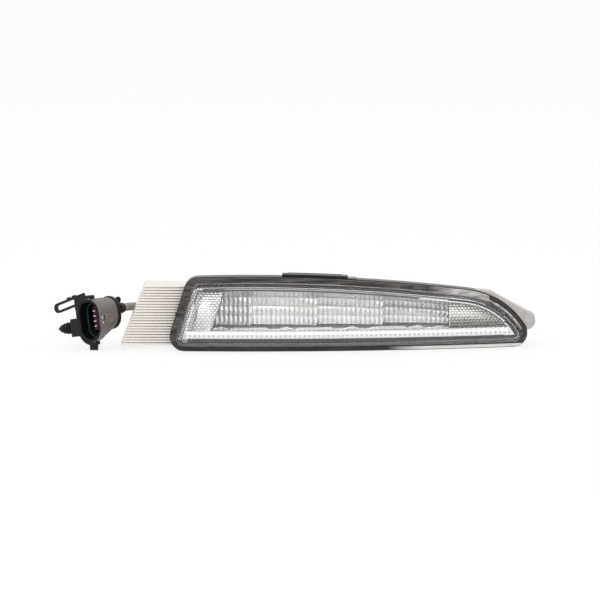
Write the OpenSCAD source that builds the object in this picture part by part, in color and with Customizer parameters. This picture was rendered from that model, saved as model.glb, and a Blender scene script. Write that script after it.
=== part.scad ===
// Daytime running light for the left front of a car, standing as it is fitted.
// X runs along the lamp, the lens looks along -Y and Z is up. The origin is the middle of the
// lamp's footprint, on the surface that the rim and the rear feet stand on.

/* [Lamp outline] */
// Length over the cooling fins and the mounting ear
overall_len = 278; // [272:1:290]
// Height of the rim at its highest point
lamp_h = 50.8; // [49:0.2:53]
// Depth from the front of the lens to the rear cover
depth = 58; // [57:0.5:64]
// Lean of the left end from upright
end_lean = 17.3; // [12:0.1:20]
// Radius of the long top edge
top_r = 1000; // [850:10:1200]
// Radius of the nose at the right end
nose_r = 54.5; // [50:0.5:57]
// Distance from the ear's outer end back to the centre of the nose
nose_inset = 53.4; // [50:0.2:56]
// Corner radius at the left end of the rim
corner_r = 9.6; // [9.2:0.1:11]
// Corner radius at the tip of the rim
tip_r = 9.2; // [9:0.1:10]
// Radius of the lens front seen from above
plan_r = 700; // [600:10:900]

/* [Lens] */
// Thickness of the lens face
lens_t = 2.4; // [2:0.1:3]
// Width of the flat lens border outside its raised side wall
border_w = 4; // [3.8:0.1:4.4]
// Thickness of the lens side wall
lens_wall = 2.2; // [1.8:0.1:2.3]
// Height by which the lens stands proud of its border
lens_rise = 5; // [4:0.1:6]
// Thickness of the lens border
border_t = 1.8; // [1.4:0.1:2.2]
// Depth of the lens side wall
lens_side = 13; // [12:0.1:13.4]

/* [Housing] */
// Depth of the housing channel floor behind the lens front
channel_d = 14.2; // [14:0.1:15]
// Thickness of the channel floor
floor_t = 2; // [1.6:0.1:2.6]
// Distance from the rim's edge in to the tub
tub_inset = 6.6; // [6.5:0.1:7]
// Wall of the tub
tub_wall = 2; // [1.8:0.1:2.2]
// Wall of the tub's rear
rear_wall = 2.2; // [1.8:0.1:2.6]
// Width of a rear foot
foot_w = 12; // [9:0.5:16]
// Length of a rear foot from front to back
foot_len = 15; // [12:0.5:18]
// Bore for the self-tapping screw in a rear foot
foot_bore = 3.4; // [2.8:0.1:4]
// Thickness of a rib on the rear wall
rib_t = 1.4; // [1:0.1:2]
// Height of a rib on the rear wall
rib_h = 1.2; // [0.6:0.1:2]

/* [Reflector] */
// Width of one reflector cell
cell_w = 44.3; // [43:0.1:45.4]
// Wall of the reflector
reflector_t = 1.4; // [1.2:0.1:1.8]
// Width of one vertical flute in a bowl
flute_w = 3.2; // [2.8:0.1:4.5]
// Height of a flute
flute_h = 0.55; // [0.3:0.05:0.8]
// Depth by which a bowl closes in towards its right end
bowl_close = 5; // [3:0.5:6]
// Width of the flat panel at the leaning end, in front of the first bowl
panel_w = 16.4; // [12:0.2:17]

/* [Light source] */
// Side of an LED package
led_w = 3.6; // [3:0.1:5]
// Height of an LED package
led_h = 1.7; // [1.4:0.1:1.9]
// Thickness of the LED board
led_board_t = 1.6; // [1:0.1:1.8]
// Depth of the LED board from front to back
led_board_w = 20; // [16:0.5:22]
// Thickness of the heat spreader
spreader_t = 2; // [1.5:0.1:2.2]

/* [Heat sink] */
// Reach of the lowest fin out from the rim
sink_reach = 29.2; // [24:0.2:33]
// Height of the finned profile
sink_h = 40.4; // [36:0.2:41]
// Height of the lowest fin above the standing surface
sink_z = 2.8; // [2:0.1:4]
// Depth of the profile from front to back
sink_depth = 23; // [20:0.5:24]
// Distance from one fin to the next
fin_pitch = 1.86; // [1.6:0.02:2.4]
// Thickness of a fin
fin_t = 1.25; // [1:0.05:1.4]
// Thickness of the profile's base
sink_base = 3; // [2.4:0.1:3.2]
// Lean of the fin ends from upright
fin_lean = 21.4; // [18:0.1:24]
// Thickness of the gasket between the profile and the tub
gasket_t = 0.8; // [0.5:0.1:1]
// Diameter of the screws that hold the profile
sink_screw_d = 3.4; // [2.8:0.1:4]

/* [Rear cover and driver] */
// Length of the rear cover
cover_len = 84; // [78:1:90]
// Height of the rear cover
cover_h = 30; // [28:0.5:31]
// Thickness of the rear cover
cover_t = 2.8; // [2.6:0.1:3.2]
// Diameter of the cover screws
cover_screw_d = 2.5; // [2:0.1:3]
// Thickness of the driver board
driver_t = 1.6; // [1:0.1:2]
// Diameter of the vent cap
vent_d = 11; // [9:0.5:14]

/* [Fixings] */
// Radius of the mounting ear
ear_r = 5.8; // [5:0.1:6.4]
// Height of the ear above the standing surface
ear_z = 17.4; // [15:0.2:20]
// Bore of the mounting ear
ear_bore = 4.2; // [3.4:0.1:5]
// Length of the retaining clip on the top edge
clip_len = 44; // [36:1:52]
// Thickness of the retaining clip
clip_t = 1.5; // [1.2:0.1:2]

/* [Connector] */
// Height of the connector mouth
conn_h = 29; // [28:0.5:31]
// Width of the connector mouth
conn_w = 18.6; // [18:0.2:20]
// Length of the connector shell
conn_len = 22; // [20:0.5:24]
// Wall of the connector mouth
conn_wall = 2; // [1.6:0.1:2.2]
// Depth of the connector socket
socket_d = 15; // [13:0.5:16]
// Distance from one contact pin to the next
pin_pitch = 3.4; // [3:0.1:3.8]
// Diameter of the fir-tree clip over its barbs
tree_d = 8.6; // [7:0.2:10]
// Length of the slotted strap
strap_len = 22; // [18:0.5:24]
// Reach of the bracket's arm from the shell to the fir-tree clip
tree_arm = 8; // [5:0.5:10]
// Diameter of the lead
lead_d = 5.4; // [4.6:0.1:5.8]

/* [Hidden] */
// Running gap between pieces that sit in each other
gap = 0.3;
// Gap between curved faces that rest on each other
seat = 0.1;
// Longer than any piece, for cuts that go right through
far = 400;
fine = 720;
led_count = 4;

// The outline's places: rim edge, highest point, arcs and their join
left_x = -overall_len / 2 + sink_reach;
right_x = overall_len / 2;
apex_inset = 57.8;
apex_x = left_x + apex_inset;
top_x = apex_x;
front_y = -depth / 2;
top_c = [top_x, lamp_h - top_r];
nose_x = right_x - nose_inset;
nose_turn = asin((nose_x - top_x) / (top_r - nose_r));
nose_c = [nose_x, top_c[1] + (top_r - nose_r) * cos(nose_turn)];

// Places that several pieces share, as distances behind the lens front or in from the rim's edge
rim_in = border_w - gap;
rim_d = lens_rise + border_t + seat;
tub_in = tub_inset + tub_wall;
rear_y = depth / 2 - cover_t;
bend_x = right_x - 84;
slope_y = 9;
trim_in = tub_in + gap;
reflector_in = trim_in + spreader_t + 3;
spreader_z = tub_in + seat;
board_z = spreader_z + spreader_t;
led_z = board_z + led_board_t;
shelf_z = led_z + 0.5;
bowl_z = shelf_z + reflector_t;
reflector_d = lens_t + 2.6;
led_d = reflector_d + 7.4;
bowl_room = 15.6;
bowl_r = rear_y - rear_wall - reflector_t - front_y - led_d - bowl_room;
nose_d = reflector_d + 9;
panel_d = reflector_d + 2;
first_x = apex_x - cell_w;
sink_y = front_y + channel_d + floor_t + 2.2;
spreader_x = first_x + 3;
spreader_top = lamp_h - trim_in - 4;
spreader_low = spreader_z + 1;
screw_z = [20.5, 38];
cover_x = -9;
cover_z = 27;
screw_dx = cover_len / 2 - 4.5;
screw_dz = cover_h / 2 - 4.5;
window_l = cover_len - 18;
window_h = cover_h - 9;
driver_y = rear_y - rear_wall - 6;
driver_l = window_l - 6;
driver_h = window_h - 2;
grommet = [cover_x - cover_len / 2 - 11, 14];
vent = [cover_x + cover_len / 2 + 13, cover_z];
ear_x = right_x - ear_r;
foot_x = [-46, 66];
foot_y = rear_y - foot_len - 2;
rib_x = concat([for (i = [1:3]) vent[0] + vent_d / 2 + i * 12], [for (i = [1:2]) grommet[0] - 4 - i * 10]);
clip_x = -31;

// The lead from the connector's collar to the grommet, and two short wires inside the tub from the
// grommet to the driver board: share of the way along X, distance behind the tub's rear, height
lead_path = [
    [0, -18.2, 25.5], [0.056, -12.7, 25.5], [0.116, -6.7, 24.9], [0.178, -0.2, 23],
    [0.241, 6.4, 20], [0.302, 12.9, 16.4], [0.363, 19.2, 12.6], [0.427, 25, 9.1],
    [0.498, 29.8, 6.2], [0.582, 33.2, 4.2], [0.673, 34.6, 3.1], [0.767, 33.7, 3],
    [0.854, 30.6, 4], [0.925, 25.6, 6.3], [0.975, 19.6, 9.6], [0.997, 13.8, 12.6],
    [1, 9.6, 13.9], [1, 5.8, 14]
];
wire_path = [[0, -3.8, 14], [0, -6.2, 14.2], [0.08, -9.4, 15], [0.25, -10.8, 17], [0.5, -10.8, 19.6], [0.76, -10, 21], [1, -9.4, 22]];
lead_route = routed(lead_path, 0.5 - right_x, grommet[0]);
wire_route = routed(wire_path, grommet[0], cover_x - driver_l / 2 + 3);
wire_d = 1.6;
conn_turn = -38;
conn_roll = -9;
collar_at = [3, conn_len + 11, 5];
conn_at = lead_route[0] - turned(collar_at);

function dir(a) = [cos(a), sin(a)];

// Centres of the rounds of radius r at the leaning end's foot and head, and at the tip
function low_centre(r) = [end_x(r, r), r];
function high_centre(r) =
    let (a = end_x(0, r) - top_x, t = tan(end_lean), b = a * t - top_c[1])
    let (c = a * a + pow(top_c[1], 2) - pow(top_r - r, 2))
    let (z = (-b + sqrt(b * b - (t * t + 1) * c)) / (t * t + 1)) [end_x(z, r), z];
function tip_centre(r) = [nose_x + sqrt(pow(nose_r - r, 2) - pow(r - nose_c[1], 2)), r];

// Points of an arc about c from angle a1 to a2, in n steps, and the angle at which c sees a point
function arc(c, r, a1, a2, n) = [for (i = [0:n]) c + r * dir(a1 + (a2 - a1) * i / n)];
function bearing(c, p) = atan2(p[1] - c[1], p[0] - c[0]);

// The lamp's front outline, set in by d: foot, head, long top edge, nose and tip
function outline_points(d) =
    let (rc = max(corner_r, d + 0.5), rt = max(tip_r, d + 0.5))
    let (low = low_centre(rc), high = high_centre(rc), tip = tip_centre(rt))
    let (head = bearing(top_c, high), foot = bearing(nose_c, tip), join = 90 - nose_turn)
    concat(
        arc(low, rc - d, 270, 180 - end_lean, 7), arc(high, rc - d, 180 - end_lean, head + 1, 5),
        arc(top_c, top_r - d, head, join + 0.5, 13), arc(nose_c, nose_r - d, join, foot + 2, 14),
        arc(tip, rt - d, foot, -90, 6)
    );

// The leaning end's x at a height, set in by d
function end_x(z, d) = left_x + z * tan(end_lean) + d / cos(end_lean);

// The fin ends' x at a height
function fin_x(z) = -overall_len / 2 + (z - sink_z) * tan(fin_lean);

// How far the lens front has swept back at x
function swept(x) = plan_r - sqrt(pow(plan_r, 2) - pow(x - apex_x, 2));

function cell_left(i) = first_x + i * cell_w;
function led_x(i) = cell_left(i) + cell_w * 0.52;
function led_y(i) = front_y + swept(cell_left(i) + cell_w / 2) + led_d;

// A vector from the connector's own axes, in the lamp's
function turned(p) =
    let (x = p[0] * cos(conn_roll) + p[2] * sin(conn_roll), z = p[2] * cos(conn_roll) - p[0] * sin(conn_roll))
    [x * cos(conn_turn) - p[1] * sin(conn_turn), x * sin(conn_turn) + p[1] * cos(conn_turn), z];

// A path's points, once it is known where it starts and ends along X
function routed(path, x0, x1) = [for (p = path) [x0 + p[0] * (x1 - x0), rear_y + p[1], p[2]]];

// Direction of a route at point i, and the two directions across it
function unit(v) = v / norm(v);
function along(p, i) = unit(p[min(i + 1, len(p) - 1)] - p[max(i - 1, 0)]);
function across(t) = unit(cross(t, [0, 0, 1]));

// A round tube along a route, with its ends square to the route
module tube(route, d, sides) {
    ring = [for (i = [0:len(route) - 1]) let (t = along(route, i), u = across(t), v = cross(u, t))
        for (k = [0:sides - 1]) route[i] + d / 2 * (cos(360 * k / sides) * u + sin(360 * k / sides) * v)];
    last = (len(route) - 1) * sides;
    walls = [for (i = [0:len(route) - 2]) for (k = [0:sides - 1]) let (n = (k + 1) % sides)
        [i * sides + k, (i + 1) * sides + k, (i + 1) * sides + n, i * sides + n]];
    ends = [[for (k = [0:sides - 1]) k], [for (k = [sides - 1:-1:0]) last + k]];
    polyhedron(points = ring, faces = concat(walls, ends), convexity = 8);
}

// The outline, drawn with Z as its second axis
module outline(d) {
    polygon(outline_points(d));
}

// A drawing in X and Z, made solid from y0 back to y1
module from_front(y0, y1) {
    translate([0, y1, 0]) rotate([90, 0, 0]) linear_extrude(y1 - y0) children();
}

module prism() {
    from_front(front_y - 5, depth / 2 + 5) children();
}

// A drawing in X and Y, made solid over the lamp's whole height
module from_above() {
    translate([0, 0, -10]) linear_extrude(lamp_h + 30) children();
}

// The lens front seen from above, set back by d
module plan_round(d) {
    translate([apex_x, front_y + plan_r]) circle(r = plan_r - d, $fn = fine);
}

// All that lies from d0 to d1 behind the lens front
module band(d0, d1) {
    from_above() intersection() {
        difference() {
            plan_round(d0);
            plan_round(d1);
        }
        translate([-right_x - 20, front_y - 1]) square([2 * right_x + 40, depth + 20]);
    }
}

// A ring between two insets of the outline, and a slab inside one
module ring(d_out, d_in, d0, d1) {
    intersection() {
        prism() difference() {
            outline(d_out);
            outline(d_in);
        }
        band(d0, d1);
    }
}

module slab(d, d0, d1) {
    intersection() {
        prism() outline(d);
        band(d0, d1);
    }
}

// The tub seen from above: from d behind the lens front to the rear faces, less t
module tub_plan(d, t) {
    from_above() intersection() {
        plan_round(d);
        polygon([
            [-right_x - 10, front_y - 1], [right_x + 10, front_y - 1],
            [right_x + 10, rear_y - t - slope_y * (right_x + 10 - bend_x) / (right_x - bend_x)],
            [bend_x, rear_y - t], [-right_x - 10, rear_y - t]
        ]);
    }
}

module rod(d, y0, y1, at) {
    translate([at[0], y1, at[1]]) rotate([90, 0, 0]) cylinder(d = d, h = y1 - y0, $fn = 48);
}

// Puts its children on a heat-sink screw's axis: Z points out through the leaning end
module on_sink_screw(i) {
    translate([end_x(screw_z[i], 0), sink_y + sink_depth / 2, screw_z[i]]) rotate([0, end_lean - 90, 0]) children();
}

module on_cover_screws() {
    for (sx = [-1, 1], sz = [-1, 1]) translate([cover_x + sx * screw_dx, 0, cover_z + sz * screw_dz]) children();
}

module at_connector() {
    translate(conn_at) rotate([0, conn_roll, conn_turn]) children();
}

// Black moulded tub: rim, channel for the lens, feet, screw bosses and its openings
module housing() {
    color("#1d1d1f") difference() {
        union() {
            ring(0, rim_in, rim_d, channel_d + 0.5);
            ring(0, tub_in, channel_d, channel_d + floor_t);
            intersection() {
                prism() outline(tub_inset);
                tub_plan(channel_d - 3, 0);
            }
            for (x = foot_x) translate([x - foot_w / 2, foot_y, 0]) cube([foot_w, foot_len, tub_inset + 1]);
            rear_ribs();
        }
        difference() {
            intersection() {
                prism() outline(tub_in);
                tub_plan(-2, rear_wall);
            }
            on_cover_screws() rod(6.4, rear_y - rear_wall - 7, rear_y, [0, 0]);
        }
        translate([cover_x - window_l / 2, rear_y - 5, cover_z - window_h / 2]) cube([window_l, 10, window_h]);
        on_cover_screws() rod(cover_screw_d + 0.1, rear_y - rear_wall - 6, rear_y + 1, [0, 0]);
        rod(9, rear_y - 5, rear_y + 5, grommet);
        rod(3, rear_y - 5, rear_y + 5, vent);
        for (x = foot_x) rod(foot_bore, foot_y + 3, foot_y + foot_len + 1, [x, tub_inset / 2]);
        for (i = [0, 1]) on_sink_screw(i) translate([0, 0, -tub_in - 2]) cylinder(d = sink_screw_d + 0.4, h = 8, $fn = 48);
    }
}

// Upright ribs that stiffen the tub's rear on both sides of the cover
module rear_ribs() {
    intersection() {
        prism() intersection() {
            outline(tub_inset + 1);
            for (x = rib_x) translate([x - rib_t / 2, 0]) square([rib_t, lamp_h]);
        }
        difference() {
            tub_plan(channel_d, -rib_h);
            tub_plan(channel_d, rear_wall / 2);
        }
    }
}

// Clear shell: the face, its side wall and the border that lies on the rim
module lens() {
    color([0.86, 0.88, 0.9, 0.45]) {
        slab(border_w, 0, lens_t);
        ring(border_w, border_w + lens_wall, lens_t, lens_side);
        ring(0.5, border_w, lens_rise, lens_rise + border_t);
    }
}

// Bead of sealant under the lens side wall, in the channel
module lens_seal() {
    color("#3a3a3c") ring(border_w, border_w + lens_wall, lens_side + seat, channel_d - seat);
}

// One cell's bowl: a quarter round with vertical flutes that closes in to the right
module bowl(w) {
    n = max(round(w / flute_w), 2);
    step = w / n;
    scallops = [for (i = [0:n - 1]) for (s = [0, 0.5]) let (u = (i + s) / n)
        [bowl_r - bowl_close * pow(u, 3) - (s == 0 ? 0 : flute_h), (i + s) * step]];
    rotate([90, 0, 90]) rotate_extrude(angle = 90, $fn = 96)
        polygon(concat(scallops, [[bowl_r - bowl_close, w], [bowl_r + reflector_t, w], [bowl_r + reflector_t, 0]]));
}

// One cell: its bowl, its end cheek and its shelf with a window for the LED
module cell(i) {
    w = cell_w - 0.02;
    x = cell_left(i);
    y = front_y + swept(x + cell_w / 2) + led_d;
    difference() {
        union() {
            translate([x, y, bowl_z]) bowl(w);
            translate([x, front_y, shelf_z]) cube([w, y - front_y + bowl_r, reflector_t]);
            translate([x + w - reflector_t, y - 8, shelf_z]) cube([reflector_t, bowl_r - bowl_close + 9, reflector_t + 6]);
        }
        translate([led_x(i) - led_w / 2 - 0.5, y - led_w / 2 - 0.5, shelf_z - 1])
            cube([led_w + 1, led_w + 1, reflector_t + 2]);
    }
}

// Ribbed panel that closes the reflector in the nose, past the last cell
module nose_panel() {
    x = cell_left(led_count);
    intersection() {
        prism() intersection() {
            outline(trim_in + 0.2);
            translate([x, 0]) square([far, lamp_h]);
        }
        union() {
            band(nose_d, nose_d + reflector_t);
            intersection() {
                band(nose_d - flute_h, nose_d + 0.5);
                for (i = [0:floor((right_x - x) / flute_w)]) translate([x + i * flute_w, -far / 2, 0])
                    cube([flute_w / 2, far, lamp_h]);
            }
        }
    }
    intersection() {
        slab(trim_in + 0.2, reflector_d, nose_d + reflector_t);
        translate([x, -far / 2, shelf_z]) cube([far, far, reflector_t]);
    }
}

// Flat panel at the leaning end, with a wall back from its right edge
module end_panel() {
    edge = trim_in + 0.6 + panel_w;
    intersection() {
        prism() intersection() {
            outline(trim_in + 0.2);
            translate([-far / 2, shelf_z]) square([far, far]);
            polygon([[end_x(0, edge), 0], [-far, 0], [-far, lamp_h], [end_x(lamp_h, edge), lamp_h]]);
        }
        union() {
            band(panel_d, panel_d + reflector_t);
            intersection() {
                band(panel_d, led_d);
                prism() polygon([
                    [end_x(0, edge - reflector_t), 0], [end_x(0, edge), 0],
                    [end_x(lamp_h, edge), lamp_h], [end_x(lamp_h, edge - reflector_t), lamp_h]
                ]);
            }
        }
    }
}

// Metallised moulding: fluted bowls in a row behind a front skirt and a border, with an end panel
module reflector() {
    color("#d9d9d6") {
        nose_panel();
        end_panel();
        intersection() {
            union() for (i = [0:led_count - 1]) cell(i);
            slab(trim_in + 0.2, reflector_d, far / 8);
            prism() polygon([[end_x(0, reflector_in), 0], [far, 0], [far, far], [end_x(far, reflector_in), far]]);
        }
        ring(trim_in, trim_in + reflector_t, reflector_d, reflector_d + reflector_t + 0.6);
        intersection() {
            slab(trim_in + 0.2, reflector_d, reflector_d + reflector_t);
            union() {
                translate([-far / 2, -far / 2, 0]) cube([far, far, bowl_z]);
                translate([-far / 2, -far / 2, bowl_z + bowl_r - reflector_t]) cube([far, far, far]);
            }
        }
        for (i = [0:led_count - 1]) let (x = cell_left(i), y = front_y + swept(x + cell_w / 2) + led_d) intersection() {
            translate([x, front_y, bowl_z + bowl_r - reflector_t]) cube([cell_w - 0.02, y - front_y + 0.5, reflector_t]);
            slab(trim_in + 0.2, reflector_d, far / 8);
            prism() polygon([[end_x(0, reflector_in), 0], [far, 0], [far, far], [end_x(far, reflector_in), far]]);
        }
    }
}

module led_board() {
    color("#f2f2ee") difference() {
        intersection() {
            slab(trim_in + 1, reflector_d + reflector_t + 1, reflector_d + reflector_t + 1 + led_board_w);
            translate([spreader_x + 6, -far / 2, board_z]) cube([led_x(led_count - 1) + 14 - spreader_x, far, led_board_t]);
        }
        board_screw_places() cylinder(d = 3, h = 40, center = true, $fn = 32);
    }
}

module board_screw_places() {
    for (i = [0:led_count - 2]) translate([cell_left(i + 1), led_y(i) + 4, board_z]) children();
}

module led(i) {
    color("#f3e6a0") translate([led_x(i), led_y(i), led_z]) {
        translate([-led_w / 2, -led_w / 2, 0]) cube([led_w, led_w, led_h * 0.5]);
        translate([0, 0, led_h * 0.5]) cylinder(d = led_w * 0.86, h = led_h * 0.5, $fn = 32);
    }
}

// Aluminium angle: a shelf under the LED board and an upright against the tub's left wall
module heat_spreader() {
    color("#b9bcc0") difference() {
        union() {
            intersection() {
                slab(trim_in + 0.6, reflector_d + reflector_t + 1, reflector_d + reflector_t + 3 + led_board_w);
                translate([-far / 2, -far / 2, spreader_z]) cube([far / 2 + led_x(led_count - 1) + 20, far, spreader_t]);
            }
            from_front(sink_y + 2, sink_y + sink_depth - 2) polygon([
                [end_x(spreader_low, trim_in), spreader_low], [end_x(spreader_low, trim_in + spreader_t), spreader_low],
                [end_x(spreader_top, trim_in + spreader_t), spreader_top], [end_x(spreader_top, trim_in), spreader_top]
            ]);
        }
        for (i = [0, 1]) on_sink_screw(i) translate([0, 0, -tub_in - 5]) cylinder(d = sink_screw_d + 0.2, h = 8, $fn = 48);
        board_screw_places() cylinder(d = 2.2, h = 40, center = true, $fn = 32);
    }
}

module board_screws() {
    color("#8d9094") board_screw_places() {
        translate([0, 0, led_board_t + 0.05]) cylinder(d = 4.4, h = 0.35, $fn = 32);
        translate([0, 0, -spreader_t + 0.2]) cylinder(d = 2, h = spreader_t + led_board_t, $fn = 32);
    }
}

// Extruded aluminium profile: a leaning base with level fins
module heat_sink() {
    n = floor((sink_h - fin_t) / fin_pitch);
    z1 = sink_z + n * fin_pitch + fin_t;
    base = tub_inset - gasket_t - sink_base;
    color("#dcd6cc") difference() {
        from_front(sink_y, sink_y + sink_depth) union() {
            polygon([
                [end_x(sink_z, base), sink_z], [end_x(sink_z, base + sink_base), sink_z],
                [end_x(z1, base + sink_base), z1], [end_x(z1, base), z1]
            ]);
            for (i = [0:n]) let (a = sink_z + i * fin_pitch, b = a + fin_t)
                polygon([[fin_x(a), a], [end_x(a, base + 1), a], [end_x(b, base + 1), b], [fin_x(b), b]]);
        }
        for (i = [0, 1]) on_sink_screw(i) translate([0, 0, -tub_inset]) cylinder(d = sink_screw_d + 0.1, h = tub_inset - base + 3, $fn = 48);
    }
}

module sink_gasket() {
    color("#2b2b2d") difference() {
        from_front(sink_y, sink_y + sink_depth) polygon([
            [end_x(sink_z + 4, tub_inset - gasket_t + 0.05), sink_z + 4], [end_x(sink_z + 4, tub_inset - 0.05), sink_z + 4],
            [end_x(sink_z + sink_h - 4, tub_inset - 0.05), sink_z + sink_h - 4],
            [end_x(sink_z + sink_h - 4, tub_inset - gasket_t + 0.05), sink_z + sink_h - 4]
        ]);
        for (i = [0, 1]) on_sink_screw(i) translate([0, 0, -tub_inset - 1]) cylinder(d = sink_screw_d + 0.6, h = 4, $fn = 48);
    }
}

module sink_screws() {
    color("#8d9094") for (i = [0, 1]) on_sink_screw(i) {
        translate([0, 0, -trim_in - spreader_t - 2.2]) cylinder(d = sink_screw_d + 3, h = 2.1, $fn = 48);
        translate([0, 0, -trim_in - spreader_t - 0.5]) cylinder(d = sink_screw_d, h = trim_in + spreader_t - 2, $fn = 48);
    }
}

// Spring clip over the top edge, with a thinner tab at its right end
module retaining_clip() {
    color("#161617") {
        intersection() {
            ring(-seat - clip_t, -seat, rim_d + 1, channel_d + floor_t);
            translate([clip_x, -far / 2, lamp_h / 2]) cube([clip_len, far, lamp_h]);
        }
        intersection() {
            ring(-seat - clip_t * 0.6, -seat, rim_d + 2, channel_d);
            translate([clip_x + clip_len, -far / 2, lamp_h / 2]) cube([6, far, lamp_h]);
        }
        intersection() {
            ring(-seat - clip_t, 3, channel_d + floor_t + seat, channel_d + floor_t + seat + clip_t);
            translate([clip_x + 4, -far / 2, lamp_h / 2]) cube([clip_len - 8, far, lamp_h]);
        }
    }
}

// Pale corner moulding along the nose, with the mounting ear at its end
module side_bracket() {
    y0 = front_y + swept(ear_x) + rim_d;
    color([0.82, 0.82, 0.8, 0.8]) difference() {
        union() {
            intersection() {
                prism() difference() {
                    polygon([
                        nose_c + (nose_r + 0.3) * dir(76), nose_c + (nose_r + 2.2) * dir(66),
                        [ear_x + 1, ear_z + ear_r - 0.1], [ear_x, ear_z - ear_r], nose_c + (nose_r - 6) * dir(30),
                        nose_c + (nose_r - 6) * dir(76)
                    ]);
                    outline(-0.2);
                }
                band(rim_d, channel_d + floor_t);
            }
            rod(2 * ear_r, y0 - 1, y0 + 11, [ear_x, ear_z]);
        }
        prism() outline(-0.2);
        rod(ear_bore, y0 + 2, y0 + 12, [ear_x, ear_z]);
    }
}

module rear_cover() {
    color("#232325") difference() {
        union() {
            translate([cover_x - cover_len / 2, rear_y + 0.02, cover_z - cover_h / 2]) rear_plate(cover_len, cover_h, cover_t - 0.02, 4);
            translate([cover_x - window_l / 2 + gap, rear_y - 3, cover_z - window_h / 2 + gap])
                rear_plate(window_l - 2 * gap, window_h - 2 * gap, 4, 1);
            for (s = [-1, 1]) rod(5, driver_y + driver_t, rear_y, [cover_x + s * driver_l * 0.4, cover_z]);
            for (s = [-1, 1]) rod(2.4, driver_y - 1, rear_y, [cover_x + s * driver_l * 0.4, cover_z]);
        }
        difference() {
            translate([cover_x - window_l / 2 + 2, rear_y - 4, cover_z - window_h / 2 + 2]) cube([window_l - 4, 4.4, window_h - 4]);
            for (s = [-1, 1]) rod(5, rear_y - 10, rear_y + 2, [cover_x + s * driver_l * 0.4, cover_z]);
        }
        seal_ring(0.05, rear_y - 0.5, rear_y + 1.2);
        on_cover_screws() {
            rod(cover_screw_d + 0.3, rear_y - 1, depth / 2 + 1, [0, 0]);
            rod(cover_screw_d * 2 + 0.4, depth / 2 - 1.5, depth / 2 + 1, [0, 0]);
        }
    }
}

// A plate with rounded corners, drawn upright with its low left corner at the origin
module rear_plate(l, h, t, r) {
    translate([0, t, 0]) rotate([90, 0, 0]) linear_extrude(t) {
        translate([r, 0]) square([l - 2 * r, h]);
        translate([0, r]) square([l, h - 2 * r]);
        for (x = [r, l - r], z = [r, h - r]) translate([x, z]) circle(r = r, $fn = 48);
    }
}

module seal_ring(g, y0, y1) {
    w = window_l + 1.2;
    h = window_h + 1.2;
    difference() {
        translate([cover_x - w / 2 - 1.4 - g, y0, cover_z - h / 2 - 1.4 - g]) cube([w + 2.8 + 2 * g, y1 - y0, h + 2.8 + 2 * g]);
        translate([cover_x - w / 2 + g, y0 - 1, cover_z - h / 2 + g]) cube([w - 2 * g, y1 - y0 + 2, h - 2 * g]);
    }
}

module cover_seal() {
    color("#55585c") seal_ring(0, rear_y + 0.05, rear_y + 1.15);
}

module cover_screws() {
    color("#9a9da1") on_cover_screws() difference() {
        union() {
            rod(cover_screw_d * 2, depth / 2 - 1.45, depth / 2 - 0.1, [0, 0]);
            rod(cover_screw_d, depth / 2 - 9, depth / 2 - 1.4, [0, 0]);
        }
        rod(cover_screw_d * 0.8, depth / 2 - 0.9, depth / 2, [0, 0]);
    }
}

module driver_board() {
    color("#2f6b45") difference() {
        translate([cover_x - driver_l / 2, driver_y, cover_z - driver_h / 2]) cube([driver_l, driver_t - 0.05, driver_h]);
        for (s = [-1, 1]) rod(2.6, driver_y - 2, driver_y + 4, [cover_x + s * driver_l * 0.4, cover_z]);
    }
}

module driver_coil() {
    color("#4a4a4d") difference() {
        translate([cover_x - 16, driver_y - 4, cover_z - 5]) cube([10, 3.95, 10]);
        rod(4, driver_y - 5, driver_y - 3, [cover_x - 11, cover_z]);
    }
}

module driver_capacitor() {
    color("#9c8f74") for (z = [-4, 4]) rod(5.5, driver_y - 3.8, driver_y - 0.05, [cover_x + 4, cover_z + z]);
}

module driver_chip() {
    color("#202022") translate([cover_x + 11, driver_y - 1.7, cover_z - 3]) cube([6, 1.65, 6]);
}

module inner_wires() {
    color("#8a2f2a") for (s = [-1, 1]) tube([for (p = wire_route) p + [0, 0, s * 1.2]], wire_d, 8);
}

module vent_cap() {
    color("#303033") {
        rod(vent_d, rear_y + 0.05, rear_y + 2, vent);
        rod(2.8, rear_y - 3, rear_y + 1, vent);
    }
}

// Rubber grommet: it fills the hole in the rear wall and tapers to the lead
module cable_grommet() {
    color("#28282a") {
        rod(8.8, rear_y - rear_wall - 0.5, rear_y + 0.5, grommet);
        rod(10.2, rear_y - rear_wall - 1.2, rear_y - rear_wall - 0.05, grommet);
        rod(13, rear_y + 0.05, rear_y + 1.6, grommet);
        translate([grommet[0], rear_y + 1.5, grommet[1]]) rotate([-90, 0, 0])
            cylinder(d1 = 10.4, d2 = lead_d + 1.8, h = lead_route[len(lead_route) - 1][1] - rear_y - 1.5 - seat, $fn = 48);
    }
}

module lead() {
    color("#8b8780") tube(lead_route, lead_d, 10);
}

// An upright oval of the connector, w wide and h high
module oval(w, h) {
    r = w / 2;
    hull() for (s = [-1, 1]) translate([0, s * (h / 2 - r)]) circle(r = r, $fn = 40);
}

module oval_block(w, h, y0, y1) {
    from_front(y0, y1) oval(w, h);
}

// Grey shell of the connector: a deep oval socket on a body that narrows to the rear
module connector_shell() {
    color("#77746f") at_connector() difference() {
        union() {
            hull() {
                oval_block(conn_w, conn_h, 0, 6);
                translate([0, 0, 3]) oval_block(conn_w - 2.6, conn_h - 8, conn_len - 0.5, conn_len);
            }
            translate([conn_w / 2 - 1.5, 5, -3]) cube([2.2, 9, 6]);
        }
        oval_block(conn_w - 2 * conn_wall, conn_h - 2 * conn_wall, -1, 9);
        translate([0, 0, 1]) oval_block(conn_w - 2 * conn_wall - 2.4, conn_h - 2 * conn_wall - 5, 8, socket_d);
    }
}

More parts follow.
